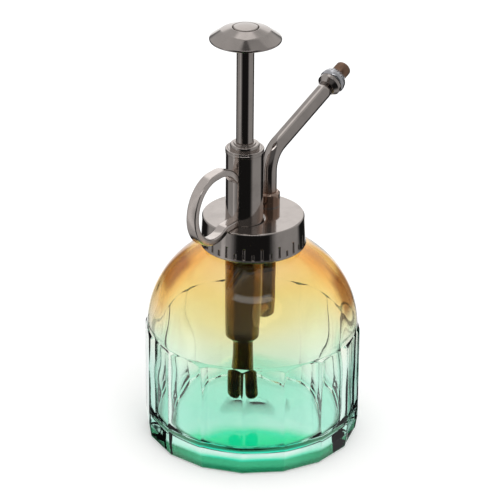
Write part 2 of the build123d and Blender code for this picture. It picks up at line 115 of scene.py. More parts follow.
class Axis:
    """Local frame of a turned piece: a line along its axis, and two directions across it."""

    def __init__(self, origin, along=(0, 0, 1), across=(1, 0, 0)):
        self.origin = np.array(origin, dtype=float)
        self.along = np.array(along, dtype=float)
        self.across = np.array(across, dtype=float)
        self.side = np.cross(self.along, self.across)


def upright(node):
    """Frame of an upright node: through the middle of its box, with heights over the base."""
    low, high = box_mm(node)
    return Axis(((low[0] + high[0]) / 2, (low[1] + high[1]) / 2, 0))


def spray():
    """Frame of the nozzle: distance along the spray from the back of the nozzle."""
    turn = joint("nozzle_turn")
    along = np.array(turn["axis"]) / np.linalg.norm(turn["axis"])
    return Axis(np.array(turn["pos_m"]) / META, along, (0, 1, 0))


# ---- sizes a user would change
def size(label, description, default):
    """A length in millimetres, or an angle in degrees."""
    return FloatProperty(name=label, description=description, default=default)


def count(label, description, default):
    """A number of copies."""
    return IntProperty(name=label, description=description, default=default)


def colour(label, description, default):
    """A colour, as linear values."""
    return FloatVectorProperty(
        name=label, description=description, subtype="COLOR", default=default
    )


class BottleSizes(bpy.types.PropertyGroup):
    """Sizes of the bottle's glass."""

    panels: count("Panels", "Flat panels round the bottle", 16)
    panel_turn: size("Panel turn", "Degrees from +X to a corner", 6.5)
    corner_round: size("Corner round", "Radius of the corners", 6.0)
    bead: size("Bead", "Height of the bead on a corner", 0.14)
    panel_top: size("Panel top", "Height of the panels' upper end", 46.0)
    heel: size("Heel", "Height of the heel", 6.5)
    foot: size("Foot", "Corner radius of the foot", 41.1)
    foot_round: size("Foot round", "Radius of the foot's edge", 1.2)
    dish_depth: size("Dish depth", "Depth of the dish under the base", 1.2)
    dish_radius: size("Dish radius", "Radius of the dish under the base", 15.0)
    dome_centre: size("Dome centre", "Height of the dome's centre", 45.0)
    dome_rise: size("Dome rise", "Height of the full dome", 38.7)
    wall: size("Wall", "Thickness of the glass", 2.6)
    floor: size("Floor", "Thickness of the floor", 6.0)
    inner_corner: size("Inner corner", "Radius between wall and floor, inside", 8.0)
    neck_wall: size("Neck wall", "Thickness of the neck", 2.4)
    neck_radius: size("Neck radius", "Outside of the neck", 16.8)
    wave: size("Wave", "Unevenness of the inner wall", 0.16)


class HeadSizes(bpy.types.PropertyGroup):
    """Sizes of the cap and of what stands on it."""

    lip: size("Lip", "Height of the lip at the cap's foot", 1.1)
    notches: count("Notches", "Grip notches round the cap", 36)
    notch_width: size("Notch width", "Width of a notch", 1.0)
    long_notch: size("Long notch", "Height of a long notch", 4.7)
    short_notch: size("Short notch", "Height of a short notch", 2.4)
    notch_turn: size("Notch turn", "Degrees from +X to a short notch", 14.0)
    bend: size("Spout bend", "Radius of the spout's bend", 10.0)
    ring: size("Finger ring", "Outer radius of the ring's bow", 14.4)
    band: size("Band", "Thickness of the ring's band", 2.7)
    ring_bend: size("Ring bend", "Bend over the plate's edge", 4.0)
    ring_stretch: size("Ring stretch", "Level run on top", 2.6)
    teeth: count("Teeth", "Teeth round the nozzle", 24)


class FinishColours(bpy.types.PropertyGroup):
    """Colours of the finishes."""

    plating: colour("Plating", "Dark nickel", (0.53, 0.48, 0.45))
    # the plating painted darker and browner for the pieces inside the bottle: painted shade
    inside: colour("Inside", "Nickel in the bottle", (0.17, 0.088, 0.014))
    nozzle: colour("Nozzle", "Bright nickel", (0.62, 0.62, 0.65))
    tip: colour("Tip", "Brown bronze", (0.34, 0.21, 0.145))
    backdrop: colour("Backdrop", "Floor and background", (1.0, 1.0, 1.0))


# ---- meshes
def grid_mesh(name, grid):
    """A mesh from a grid of points: rows run along a profile, and columns run round it.

    Each cell of the grid is one four-sided face, and the last column meets the first.
    """
    rows, columns = grid.shape[:2]
    near = np.arange(rows - 1)[:, None] * columns
    far = near + columns
    column = np.arange(columns)[None, :]
    ahead = (column + 1) % columns
    corners = np.stack([near + column, near + ahead, far + ahead, far + column], axis=-1)
    mesh = bpy.data.meshes.new(name)
    mesh.from_pydata((grid.reshape(-1, 3) * META).tolist(), [], corners.reshape(-1, 4).tolist())
    return mesh


def add_object(name, data):
    """An object in the scene's collection."""
    item = bpy.data.objects.new(name, data)
    bpy.context.scene.collection.objects.link(item)
    return item


def add_piece(name, grid, nodes=(), finish="dark_nickel", body="pump_head"):
    """A closed piece from a grid, with its finish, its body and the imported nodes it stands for.

    Rows that shrink to a point become a pole, and doubled points are merged, so the shell is
    closed; its normals are then turned outwards.
    """
    mesh = grid_mesh(name, grid)
    shell = bmesh.new()
    shell.from_mesh(mesh)
    bmesh.ops.remove_doubles(shell, verts=shell.verts, dist=2e-7)
    bmesh.ops.recalc_face_normals(shell, faces=shell.faces)
    shell.to_mesh(mesh)
    shell.free()
    mesh.shade_smooth()
    mesh.materials.append(bpy.data.materials[finish])
    piece = add_object(name, mesh)
    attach(piece, body)
    if nodes:
        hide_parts(*nodes)
    return piece


def add_turned(name, node, columns, points, radii, finish="dark_nickel", body="pump_head",
               slot="gunmetal", place=None, **arcs):
    """A piece turned about its place's axis, or that of the node that it stands for."""
    grid = spin(place or upright(node), rounded(points, radii, **arcs), around(columns))
    return add_piece(name, grid, [node], finish, body)


def arc(centre, radius, start, end, steps):
    """Points on a circle: centre plus radius times (cosine, sine) of the angle, in degrees."""
    angle = np.radians(np.linspace(start, end, steps))
    return np.stack([centre[0] + radius * np.cos(angle), centre[1] + radius * np.sin(angle)], 1)


def rounded(points, radii, shoulder=0.06, step=12.0):
    """A line of (radius, height) points whose corners, all but its ends, are replaced by arcs.

    The arc at a corner touches both sides at the distance radius * tan(turn / 2), and is kept
    inside 0.45 of the shorter side.  A support point a shoulder's length before and after each
    arc keeps the straight stretches flat under smooth shading.
    """
    points = np.asarray(points, dtype=float)
    line = [points[0]]
    for here, before, after, radius in zip(points[1:-1], points, points[2:], radii):
        back, ahead = before - here, after - here
        reach_back, reach_ahead = np.linalg.norm(back), np.linalg.norm(ahead)
        back, ahead = back / reach_back, ahead / reach_ahead
        inside = acos(np.clip(back @ ahead, -1, 1))
        turn = pi - inside
        if turn < radians(4) or radius <= 0:
            line.append(here)
            continue
        reach = min(radius * tan(turn / 2), 0.45 * min(reach_back, reach_ahead))
        radius = reach / tan(turn / 2)
        bisector = (back + ahead) / np.linalg.norm(back + ahead)
        centre = here + bisector * (radius / sin(inside / 2))
        first = here + back * reach
        last = here + ahead * reach
        steps = max(3, ceil(degrees(turn) / step) + 1)
        share = np.linspace(0, 1, steps)[:, None]
        sweep = np.sin((1 - share) * turn) * (first - centre)
        sweep = sweep + np.sin(share * turn) * (last - centre)
        line.append(first + back * min(shoulder, 0.3 * (reach_back - reach)))
        line.extend(centre + sweep / sin(turn))
        line.append(last + ahead * min(shoulder, 0.3 * (reach_ahead - reach)))
    line.append(points[-1])
    return np.array(line)


def spin(place, profile, angles, radius_at=None):
    """A profile turned about a place's axis.

    A point at radius r, height h and angle a lies at origin + h * along
    + r * (cos a * across + sin a * side); radius_at(r, h, a) may change r on the way.  A third
    column of the profile moves a row's circle that far along across.
    """
    radius, height, angle = np.broadcast_arrays(profile[:, :1], profile[:, 1:2], angles[None, :])
    if radius_at:
        radius = radius_at(radius, height, angle)
    flat = radius[..., None] * (
        np.cos(angle)[..., None] * place.across + np.sin(angle)[..., None] * place.side
    )
    grid = place.origin + height[..., None] * place.along + flat
    if profile.shape[1] > 2:
        grid = grid + profile[:, 2, None, None] * place.across
    return grid


def around(columns):
    """Angles of evenly spaced columns round a full turn."""
    return np.arange(columns) * TURN / columns


def sweep_flat(path, section):
    """A closed section carried along a path of (x, z) points in the XZ plane.

    A section point (across, out) at a path point p with tangent t lies at
    p + across * Y + out * (Y x t), so the section stays square to the path.
    """
    path = np.stack([path[:, 0], np.zeros(len(path)), path[:, 1]], axis=1)
    ahead = np.gradient(path, axis=0)
    ahead /= np.linalg.norm(ahead, axis=1)[:, None]
    beside = np.array([0.0, 1.0, 0.0])
    out = np.cross(np.broadcast_to(beside, ahead.shape), ahead)
    across = section[None, :, :1] * beside
    return close_bar(path[:, None, :] + across + section[None, :, 1:] * out[:, None, :])


def close_bar(grid):
    """Add the middle point of each end as a first and a last row, so that a bar's ends close."""
    ends = [np.repeat(grid[end].mean(axis=0)[None, None], grid.shape[1], axis=1) for end in (0, -1)]
    return np.concatenate([ends[0], grid, ends[1]])


def smooth_max(a, b, soft):
    """The larger of two values, blended over a width: (a + b + sqrt((a-b)^2 + soft^2)) / 2."""
    return (a + b + np.sqrt((a - b) ** 2 + soft**2)) / 2


def smooth_min(a, b, soft):
    """The smaller of two values, blended in the same way."""
    return (a + b - np.sqrt((a - b) ** 2 + soft**2)) / 2


# ---- shader maths
class Value:
    """A shader socket that takes part in arithmetic: each operation adds its own Math node."""

    def __init__(self, nodes, socket):
        self.nodes = nodes
        self.socket = socket

    def math(self, operation, *others):
        """This value and others through one Math node."""
        inputs = dict(enumerate((self, *others)))
        return self.nodes.add("ShaderNodeMath", {"operation": operation}, inputs)

    def __rsub__(self, other):
        return (self * -1.0) + other

    # magnitude is the value without its sign, at_least the larger of two, above 1 or 0
    __add__ = partialmethod(math, "ADD")
    __sub__ = partialmethod(math, "SUBTRACT")
    __mul__ = partialmethod(math, "MULTIPLY")
    __truediv__ = partialmethod(math, "DIVIDE")
    __pow__ = partialmethod(math, "POWER")
    magnitude = partialmethod(math, "ABSOLUTE")
    at_least = partialmethod(math, "MAXIMUM")
    above = partialmethod(math, "GREATER_THAN")

    def smooth(self, low, high):
        """0 below low, 1 above high, and a smooth step between them."""
        return self.nodes.add(
            "ShaderNodeMapRange",
            {"interpolation_type": "SMOOTHSTEP"},
            {"Value": self, "From Min": low, "From Max": high},
        )


class Nodes:
    """The node tree of a material or a world, emptied and ready to be filled."""

    def __init__(self, tree):
        self.tree = tree
        tree.nodes.clear()

    def add(self, kind, settings=None, inputs=None, out=0):
        """One node: its settings first, then the values or links of its sockets."""
        node = self.tree.nodes.new(kind)
        for key, value in (settings or {}).items():
            setattr(node, key, value)
        for key, value in (inputs or {}).items():
            if isinstance(value, Value):
                self.tree.links.new(value.socket, node.inputs[key])
            else:
                node.inputs[key].default_value = value
        return Value(self, node.outputs[out]) if len(node.outputs) else None

    def outputs(self, value, *names):
        """Other outputs of the node that a value comes from."""
        return [Value(self, value.socket.node.outputs[name]) for name in names]

    def split(self, vector):
        """The three parts of a vector."""
        part = self.add("ShaderNodeSeparateXYZ", inputs={0: vector})
        return self.outputs(part, "X", "Y", "Z")

    def place(self):
        """Object coordinates."""
        return self.add("ShaderNodeTexCoord", out=3)

    def mix(self, factor, first, second):
        """Two colours mixed."""
        inputs = {0: factor, 6: first, 7: second}
        return self.add("ShaderNodeMix", {"data_type": "RGBA"}, inputs, out=2)

    def ramp(self, position, stops):
        """The colour at a position from 0 to 1 on a ramp of (position, colour) stops."""
        shade = self.add("ShaderNodeValToRGB", inputs={"Fac": position})
        elements = shade.socket.node.color_ramp.elements
        while len(elements) > 1:
            elements.remove(elements[-1])
        for index, (place, tint) in enumerate(stops):
            element = elements[0] if index == 0 else elements.new(place)
            element.position = place
            element.color = (*tint, 1.0)
        return shade

    def noise(self, place, scale, detail=2.0, roughness=0.5):
        """Noise on object coordinates; scale is cycles in a metre."""
        inputs = {"Vector": place, "Scale": scale, "Detail": detail, "Roughness": roughness}
        return self.add("ShaderNodeTexNoise", inputs=inputs)

    def bump(self, height, strength, distance):
        """A normal from a height."""
        inputs = {"Strength": strength, "Distance": distance, "Height": height}
        return self.add("ShaderNodeBump", inputs=inputs)

    def surface(self, shader):
        """Link a shader to the material's output."""
        self.add("ShaderNodeOutputMaterial", inputs={"Surface": shader})

    def principled(self, inputs):
        """A principled shader as the material's surface."""
        self.surface(self.add("ShaderNodeBsdfPrincipled", inputs=inputs))


def new_material(name):
    """An empty material with its tree."""
    material = bpy.data.materials.new(name)
    material.use_nodes = True
    return material, Nodes(material.node_tree)


# height over the base in millimetres, and the tint of one wall of glass there
GLASS_TINT = (
    (0.0, (0.32, 0.82, 0.62)),
    (5.0, (0.46, 0.88, 0.73)),
    (9.0, (0.76, 0.96, 0.88)),
    (20.0, (0.86, 0.985, 0.925)),
    (36.0, (0.88, 0.985, 0.91)),
    (46.0, (0.94, 0.96, 0.80)),
    (54.0, (0.975, 0.91, 0.64)),
    (62.0, (0.99, 0.79, 0.38)),
    (70.0, (0.99, 0.70, 0.26)),
    (78.0, (0.99, 0.70, 0.36)),
    (84.0, (0.985, 0.80, 0.62)),
    (92.0, (0.98, 0.90, 0.86)),
)
# painted light and shade on the glass: a pool of green light on the floor, dark green shade on the heel, a deeper
# green on the wall's sides and burnt amber shade on the shoulder
PAINTED_POOL_GREEN = (0.003, 0.80, 0.38, 1.0)
PAINTED_HEEL_GREEN = (0.006, 0.22, 0.065, 1.0)
PAINTED_HEEL_DARK = (0.0005, 0.035, 0.006, 1.0)
PAINTED_SIDE_GREEN = (0.40, 0.84, 0.70, 1.0)
AMBER = (0.96, 0.50, 0.11, 1.0)
PAINTED_SHADE_AMBER = (0.20, 0.045, 0.006, 1.0)


def make_glass():
    """Pressed glass, tinted amber at the shoulder and green at the foot, with slow waves.

    The tint deepens towards the shoulder's rims at grazing angles, as through a longer path in the
    coating.  Light and shade are painted on it as well: shade on the shoulder's two sides as seen
    from the camera, a deeper green on the wall's two sides, a pool of green light on the floor and
    shade on the heel on the camera's side.  All lengths here are metres.
    """
    nodes = new_material("tinted_glass")[1]
    place = nodes.place()
    east, north, height = nodes.split(place)
    cloud = nodes.noise(place, 22.0) - 0.5
    top = GLASS_TINT[-1][0]
    tint = nodes.ramp(
        (height + cloud * 0.010) / (top * META), [(z / top, shade) for z, shade in GLASS_TINT]
    )
    ahead = east * sin(PAINTED_LIGHT_BEARING) - north * cos(PAINTED_LIGHT_BEARING)
    aside = east * cos(PAINTED_LIGHT_BEARING) + north * sin(PAINTED_LIGHT_BEARING)
    spread = (ahead * ahead + aside * aside) ** 0.5
    # shoulder: amber deeper at grazing angles, and painted deeper on the two sides as seen from the camera; burnt
    # amber painted shade in a slanting streak on those sides
    # edge: near 1 on the two sides as seen from the camera, where shade and light are painted
    edge = aside.magnitude() / (spread + 1e-5) + cloud * 0.12
    rim = nodes.add("ShaderNodeLayerWeight", inputs={"Blend": 0.5}, out=1) + cloud * 0.25
    side = rim + edge.smooth(0.84, 0.95) * 0.24
    shoulder = height.smooth(0.046, 0.062) * (1 - height.smooth(0.076, 0.081))
    tint = nodes.mix(side.smooth(0.15, 0.60) * shoulder * 0.7, tint, AMBER)
    slant = height + aside * 0.12
    painted_shade_streak = slant.smooth(0.058, 0.063) * (1 - slant.smooth(0.071, 0.075))
    tint = nodes.mix(side.smooth(0.52, 0.76) * painted_shade_streak * 0.94, tint, PAINTED_SHADE_AMBER)
    # wall: painted light, a deeper green on the two sides as seen from the camera, below the shoulder
    painted_flank_light = edge.smooth(0.86, 0.97) * (1 - height.smooth(0.028, 0.044))
    tint = nodes.mix(painted_flank_light * 0.55, tint, PAINTED_SIDE_GREEN)
    # floor: a painted oval pool of emerald light towards the camera's side, as cast through the green glass
    off = ahead - 0.029
    painted_light_pool = (off * off + aside * aside * 0.36) ** 0.5 + cloud * 0.006
    floor = 1 - height.smooth(0.0065, 0.0085)
    tint = nodes.mix((1 - painted_light_pool.smooth(0.012, 0.020)) * floor, tint, PAINTED_POOL_GREEN)
    # heel: painted dark green shade on the camera's side, darkest along its lower edge and towards the two sides
    foot = (1 - height.smooth(0.0056, 0.0072)) * ahead.smooth(-0.02, 0.005) * 0.98
    light = 1 - aside.magnitude().smooth(0.016, 0.036) * 0.7
    painted_heel_shade = nodes.mix(height.smooth(0.0018, 0.0042) * light, PAINTED_HEEL_DARK, PAINTED_HEEL_GREEN)
    tint = nodes.mix(foot * spread.smooth(0.030, 0.036), tint, painted_heel_shade)
    nodes.principled({
        "Base Color": tint,
        "Roughness": 0.0,
        "IOR": 1.5,
        "Transmission Weight": 1.0,
        "Normal": nodes.bump(nodes.noise(place, 60.0, 1.0), 0.06, 0.001),
    })


def make_plating(name, base, rough=0.09, darker=0.82, painted_warm_height=None):
    """Polished nickel plating with faint polishing cloud and fine scratches.

    The last argument is a height in millimetres over which a painted warm reflection of the amber
    glass fades out upwards on one side.
    """
    material, nodes = new_material(name)
    place = nodes.place()
    cloud = nodes.noise(place, 90.0, 4.0, 0.6)
    fine = nodes.noise(place, 900.0, 3.0, 0.7)
    shade = nodes.mix(cloud.smooth(0.35, 0.75), (*base, 1.0), (*(c * darker for c in base), 1.0))
    if painted_warm_height:
        east, north, height = nodes.split(place)
        above = height - painted_warm_height * META
        low = above.smooth(0.0002, 0.0006) * (1 - above.smooth(0.003, 0.011))
        aside = (east - 0.004) * cos(PAINTED_LIGHT_BEARING) + north * sin(PAINTED_LIGHT_BEARING)
        # painted warm reflection of the amber glass, low on the camera's right side
        shade = nodes.mix(low * aside.smooth(-0.002, 0.002) * 0.5, shade, (0.50, 0.24, 0.11, 1.0))
    nodes.principled({
        "Base Color": shade,
        "Metallic": 1.0,
        "Roughness": cloud.smooth(0.3, 0.8) * 0.07 + fine * 0.05 + (rough - 0.04),
        "Normal": nodes.bump(fine, 0.03, 0.0002),
    })
    return material


def make_rubber():
    """Matt black rubber with a dusty bloom."""
    material, nodes = new_material("black_rubber")
    dust = nodes.noise(nodes.place(), 400.0, 3.0)
    shade = nodes.mix(dust.smooth(0.4, 0.8), (0.012, 0.012, 0.012, 1), (0.04, 0.04, 0.038, 1))
    nodes.principled({"Base Color": shade, "Roughness": dust * 0.2 + 0.55})
    return material


def world_light():
    """The studio.

    A camera ray sees the white backdrop, and so does a ray that has only passed through glass.
    A ray that a surface has mirrored sees the room: two tall pale screens to the left and right,
    dark between them low on the camera's side, the white backdrop behind, and a pale ceiling
    with one bright strip.  From inside the glass the room is bright but on the camera's side.
    """
    world = bpy.data.worlds.new("studio")
    bpy.context.scene.world = world
    world.use_nodes = True
    nodes = Nodes(world.node_tree)
    east, north, up = nodes.split(nodes.add("ShaderNodeTexCoord", out=0))
    level = (east * east + north * north) ** 0.5 + 1e-4
    towards = Vector((sin(VIEW_AZIMUTH), -cos(VIEW_AZIMUTH)))
    # both from -1 to 1: towards the camera, and towards its right
    facing = (east * towards.x + north * towards.y) / level
    beside = (east * towards.y - north * towards.x) / level * -1.0
    screens = facing.smooth(-0.60, -0.36) * (1 - facing.smooth(0.55, 0.84)) * SCREEN_LEVEL
    lamp = facing.smooth(0.26, 0.31) * (1 - facing.smooth(0.42, 0.48))
    lamp = lamp * (beside * -1.0).smooth(0.0, 0.1)
    backdrop = (1 - facing.smooth(-0.97, -0.93)) * 1.05
    shadow = beside.smooth(0.45, 0.7) * facing.smooth(-0.40, -0.15)
    upper = up.smooth(-0.02, 0.30) * (0.52 - shadow * 0.34) * (1 - facing.smooth(0.55, 0.88) * 0.8)
    strip = up.smooth(0.80, 0.83) * (1 - up.smooth(0.87, 0.90)) * facing.smooth(0.72, 0.85) * 2.4
    room = (screens + lamp * 0.25).at_least(backdrop).at_least(upper).at_least(strip)
    camera, glossy_depth, clear_depth = nodes.outputs(
        nodes.add("ShaderNodeLightPath"), "Is Camera Ray", "Glossy Depth", "Transmission Depth"
    )
    mirrored = glossy_depth.above(0.5)
    inside = clear_depth.above(0.5)
    bright = (1 - facing.smooth(0.15, 0.55)).at_least(up.smooth(0.2, 0.5)) * GLASS_FILL
    room = room + (bright - room + 0.06) * inside + 0.012
    strength = (room * mirrored + (1 - mirrored)).at_least(camera)
    shade = nodes.add("ShaderNodeBackground", inputs={"Color": (1, 1, 1, 1), "Strength": strength})
    nodes.add("ShaderNodeOutputWorld", inputs={"Surface": shade})


# ---- pieces and operators
# degrees from a corner to the columns beside it: closer together near the corner
CORNER_STEPS = np.array([0, 0.3, 0.6, 0.9, 1.25, 1.7, 2.3, 3.4, 5.5, 8.3])
# waves of the inner wall: share, waves in a turn, radians in a millimetre of height, phase
GLASS_WAVES = ((1.0, 3, 0.07, 0.0), (0.8, 7, -0.11, 1.3), (0.5, 2, 0.35, 0.0), (0.5, 13, 0.05, 0.6))


def build_bottle(sizes):
    """Sixteen panels under a dome and a neck, round inside: one closed grid."""
    low, high = box_mm("glass_bottle")
    top = high[2]
    half = pi / sizes.panels
    corners = radians(sizes.panel_turn) + np.arange(sizes.panels) * 2 * half
    corner = (high[1] - low[1]) / 2 / max(abs(np.sin(corners)))
    flat = corner * cos(half)
    dome_radius = flat - 0.1
    bulge = sizes.corner_round
    foot_round = sizes.foot_round
    offsets = np.concatenate([-CORNER_STEPS[:0:-1], CORNER_STEPS, [degrees(half)]])
    angles = (corners[:, None] + np.radians(offsets)[None, :]).ravel()

    def panel_radius(angle):
        """Radius of the rounded polygon.

        On a panel it is flat / cos(angle from the panel's middle), and near a corner the
        circle c * cos(d) + sqrt(bulge^2 - c^2 * sin(d)^2), with a low bead on it.
        """
        away = np.mod(angle - corners[0] + half, 2 * half) - half
        centre = corner - bulge / cos(half)
        limit = atan2(bulge * sin(half), centre + bulge * cos(half))
        straight = flat / np.cos(half - np.abs(away))
        square = np.maximum(bulge**2 - (centre * np.sin(away)) ** 2, 0)
        bow = centre * np.cos(away) + np.sqrt(square)
        bead = sizes.bead * np.exp(-((away * corner / 0.8) ** 2))
        return np.where(np.abs(away) < limit, bow, straight) + bead

    def dome(height):
        """Radius of the dome at a height: an ellipse above its centre, upright below."""
        share = np.clip((height - sizes.dome_centre) / sizes.dome_rise, 0, 1)
        return dome_radius * np.sqrt(1 - share**2)

    def outside(height, angle):
        """Panels, cut back by a slope at their top, joined to the dome behind them."""
        upper = height > 30
        taper = sizes.foot / corner
        taper = taper + (1 - taper) * smooth_min(height / sizes.heel, 1.0, 0.10)
        panels = panel_radius(angle) * np.minimum(taper, 1)
        slope = corner - (height - (sizes.panel_top - 1.6)) * 0.63
        panels = smooth_min(panels, np.where(upper, slope, 99.0), 0.18)
        body = smooth_max(np.where(upper, dome(height), 0.0), panels, 0.10)
        return np.where(height > sizes.panel_top + 2, dome(height), body)

    def full(column):
        """A column of values repeated round the bottle."""
        return np.broadcast_to(column, (len(column), len(angles)))

    heights = np.concatenate([
        np.linspace(1.2, 5.2, 6),
        np.linspace(5.6, 7.8, 10),
        np.linspace(9.5, sizes.panel_top - 3.8, 12),
        np.linspace(sizes.panel_top - 2.8, sizes.panel_top + 2.6, 36),
    ])[:, None]
    wall = outside(full(heights), full(angles[None]))
    foot = panel_radius(angles) * sizes.foot / corner
    # foot: a quarter round under the first row of the wall
    quarter = np.radians(np.linspace(-90, 0, 7))[:-1, None]
    edge = foot - foot_round + foot_round * np.cos(quarter)
    edge = edge + (wall[0] - foot) * (1 + np.sin(quarter))
    edge_height = foot_round + foot_round * np.sin(quarter)
    # underside: a shallow dish in the middle, flat outside it
    share = np.linspace(0, 1, 22)[:-1, None]
    base = share * ((1 - share) * (sizes.foot - foot_round) + share * (foot - foot_round))
    hollow = smooth_max(1 - (base / sizes.dish_radius) ** 2, 0.0, 0.16)
    dish = sizes.dish_depth * hollow**1.3
    # dome and neck
    neck_radius = sizes.neck_radius
    bore = neck_radius - sizes.neck_wall
    inner = dome_radius - sizes.wall
    inner_rise = sizes.dome_rise - sizes.wall

    def ellipse(radius, rise, angle):
        """Points of the dome's outer or inner curve."""
        return np.stack([radius * np.cos(angle), sizes.dome_centre + rise * np.sin(angle)], 1)

    def meets(radius, reach, rise):
        """Height at which that curve has the given radius."""
        return sizes.dome_centre + rise * sqrt(1 - (radius / reach) ** 2)

    arch = ellipse(dome_radius, sizes.dome_rise, np.radians(np.linspace(5.8, 66.2, 40)))
    arch = arch[arch[:, 0] > neck_radius + 0.9]
    neck = rounded(
        [arch[-1], (neck_radius, meets(neck_radius, dome_radius, sizes.dome_rise)),
         (neck_radius, top), (bore, top), (bore, meets(bore, inner, inner_rise)),
         ellipse(inner, inner_rise, np.array([1.12]))[0]],
        [1.4, 0.6, 0.6, 1.6],
    )[1:]
    inner_arch = ellipse(inner, inner_rise, np.linspace(1.08, 0.0, 36))
    levels = np.linspace(sizes.dome_centre - 2, sizes.floor + sizes.inner_corner + 1, 20)
    inner_wall = np.stack([np.full(20, inner), levels], 1)
    turn_in = inner - sizes.inner_corner
    heel = arc((turn_in, sizes.floor + sizes.inner_corner), sizes.inner_corner, 0, -90, 14)
    floor = np.stack([np.linspace(turn_in - 1.5, 0, 14), np.full(14, sizes.floor)], 1)
    turned = np.concatenate([arch, neck, inner_arch, inner_wall, heel, floor])
    radius = np.concatenate([base, edge, wall, full(turned[:, :1])])
    height = np.concatenate([dish, full(edge_height), full(heights), full(turned[:, 1:])])
    # pressed glass is uneven inside: slow waves that die out towards the neck and the floor
    outer_rows = len(base) + len(edge) + len(wall) + len(arch) + len(neck)
    inside = np.arange(len(radius))[:, None] >= outer_rows
    hold = np.clip((height - sizes.floor) / 14, 0, 1) * np.clip((74 - height) / 14, 0, 1)
    ripple = sum(
        share * np.sin(waves * angles + climb * height + phase)
        for share, waves, climb, phase in GLASS_WAVES
    )
    radius = radius + np.where(inside, sizes.wave * ripple * hold, 0)
    grid = np.stack([radius * np.cos(angles), radius * np.sin(angles), height], axis=-1)
    make_glass()
    add_piece("bottle_glass", grid, ["glass_bottle"], "tinted_glass", "bottle")


class MISTER_OT_bottle(bpy.types.Operator):
    """Build the glass bottle"""

    bl_idname = "mister.bottle"
    bl_label = "Bottle"

    def execute(self, context):
        build_bottle(context.scene.mister_bottle)
        return {"FINISHED"}


def build_cap(sizes):
    """Skirt with a small lip at its foot, a flat plate, and notches cut to one depth."""
    low, high = box_mm("screw_cap")
    foot, plate, rim = low[2], high[2], high[0]
    under = plate - 1.2
    lip_top = foot + sizes.lip
    skirt = rim - 0.25
    top_radius = skirt - 0.55
    bore = rim - 2.35
    cut = skirt - 0.7
    profile = rounded(
        [(0, plate), (top_radius, plate), (skirt, lip_top), (rim, foot + 0.55),
         (skirt, foot), (bore, foot), (bore, under)],
        [0.7, 0.12, 0.25, 0.15, 0.2],
    )
    # extra rows where the notches begin and end
    near = np.array([-0.12, -0.04, 0.04, 0.12])
    levels = np.unique(np.concatenate([
        lip_top + np.array([0.06, 0.14, 0.22]),
        lip_top + sizes.short_notch + near,
        lip_top + sizes.long_notch + near,
        np.linspace(lip_top + 0.5, under, 12),
    ]))[::-1]
    start = np.argmax(profile[:, 1] < levels[0])
    side = np.stack([np.interp(-levels, [-plate, -lip_top], [top_radius, skirt]), levels], 1)
    side = side[side[:, 1] < plate - 1.0]
    rest = profile[start:]
    profile = np.concatenate([profile[:start], side, rest[rest[:, 1] < lip_top + 0.05]])
    # the plate's hole for the pump stands off the cap's axis, so its rows shift towards it
    pump_x = upright("pump_cylinder").origin[0]
    hole = 6.55
    share = np.linspace(0, 1, 7)[:-1]

    def plate_rows(reach, level):
        """Circles that grow from the hole to the rim, on one level."""
        radius = hole + (reach - hole) * share
        return np.stack([radius, np.full(6, level), pump_x * (1 - share)], 1)

    profile = np.concatenate([
        plate_rows(profile[1, 0], plate),
        np.column_stack([profile[1:], np.zeros(len(profile) - 1)]),
        [(bore, under, 0)],
        plate_rows(bore, under)[::-1],
        [(hole, plate, pump_x)],
    ])
    pitch = TURN / sizes.notches
    edge = degrees(sizes.notch_width / 2 / skirt)
    half = degrees(pitch) / 2
    steps = np.array([0, edge - 0.14, edge, edge + 0.12, edge + 0.35, 0.7 * half, half])
    offsets = np.concatenate([-steps[:0:-1], steps[:-1]])
    first = radians(sizes.notch_turn)
    middles = first + np.arange(sizes.notches) * pitch
    angles = (middles[:, None] + np.radians(offsets)[None, :]).ravel()

    def notched(radius, height, angle):
        """Outside, a notch's floor is one upright cylinder; every second notch is taller."""
        turn = angle - first
        index = np.floor(turn / pitch + 0.5)
        away = np.degrees(np.abs(turn - index * pitch))
        tall = np.where(index % 2 == 0, sizes.short_notch, sizes.long_notch)
        rise = height - lip_top
        within = np.clip((tall - rise) / 0.1, 0, 1) * np.clip(rise / 0.06, 0, 1)
        depth = np.clip((edge + 0.06 - away) / 0.14, 0, 1) * within
        return np.where(radius > cut, radius - (radius - cut) * depth, radius)

    grid = spin(upright("screw_cap"), profile, angles, notched)
    add_piece("cap_shell", grid, ["screw_cap"])


def build_barrel():
    """Plain tube with a slightly wider grooved head, and the domed gland above it."""
    foot, top = levels("pump_barrel")
    head = outer_radius("pump_barrel")
    radius = head - 0.2
    bore = radius - 0.7
    groove = top - 0.9
    add_turned(
        "barrel_tube", "pump_barrel", 96,
        [(bore, foot), (radius, foot), (radius, top - 2.0), (head, top - 1.8),
         (head, groove - 0.2), (head - 0.2, groove), (head, groove + 0.2), (head, top),
         (bore, top), (bore, foot)],
        [0.05, 0.15, 0.15, 0.12, 0.08, 0.12, 0.5, 0.15],
    )
    under, crown = levels("gland_nut")
    hole = outer_radius("plunger_rod") + 0.06
    step = crown - 0.5
    add_turned(
        "gland_dome", "gland_nut", 96,
        [(hole, under), (6.5, under), (6.5, top), (5.7, top), (5.7, step), (4.3, step),
         (4.3, crown), (hole, crown), (hole, under)],
        [0.1, 0.02, 0.02, 1.25, 0.12, 0.25, 0.15],
    )


